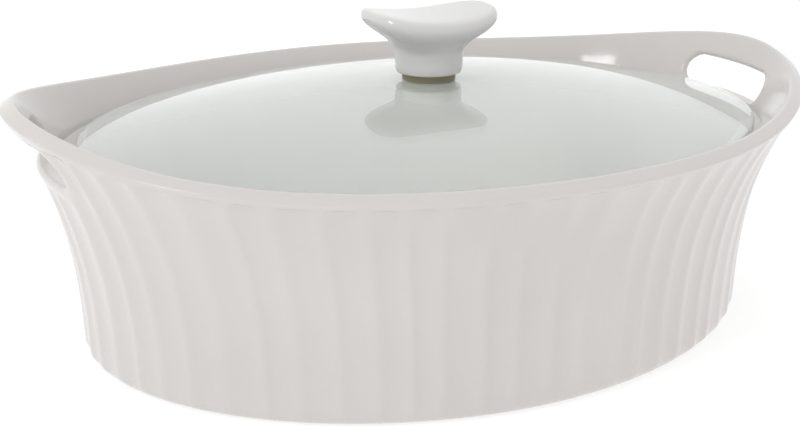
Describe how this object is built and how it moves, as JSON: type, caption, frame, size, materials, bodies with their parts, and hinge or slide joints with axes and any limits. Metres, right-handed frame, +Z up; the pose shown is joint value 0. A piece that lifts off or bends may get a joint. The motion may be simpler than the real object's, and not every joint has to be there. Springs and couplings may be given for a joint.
{
  "type": "covered casserole dish",
  "caption": "Oval fluted stoneware oven dish with raised ends pierced as handles, and a domed glass lid with a bolted saddle-shaped knob.",
  "frame": {"origin": "middle of the foot, on the table", "axes": "+X along the long axis through one handle, +Y across, towards one long side, +Z up"},
  "size_m": [0.3092, 0.2282, 0.1197],
  "materials": {
    "stoneware": "glossy white glaze",
    "lid_glass": "clear, faint green tint",
    "knob_ceramic": "glossy white glaze",
    "insert_brass": "turned",
    "seal_rubber": "satin rubber, dark olive",
    "seal_silicone": "milky silicone",
    "sleeve_plastic": "matt, heat resistant",
    "washer_plastic": "moulded, white, heat resistant",
    "fixing_steel": "stainless, plain"
  },
  "bodies": {
    "dish_body": {"dish": "stoneware"},
    "lid": {"lid_glass": "lid_glass", "knob": "knob_ceramic", "knob_insert": "insert_brass", "top_seal": "seal_rubber", "glass_sleeve": "sleeve_plastic", "under_seal": "seal_silicone", "washer": "washer_plastic", "screw": "fixing_steel"}
  },
  "joints": [
    {"name": "lid_lift", "type": "slide", "parent": "dish_body", "child": "lid", "axis": [0, 0, 1], "range_m": [0, 0.16]}
  ]
}
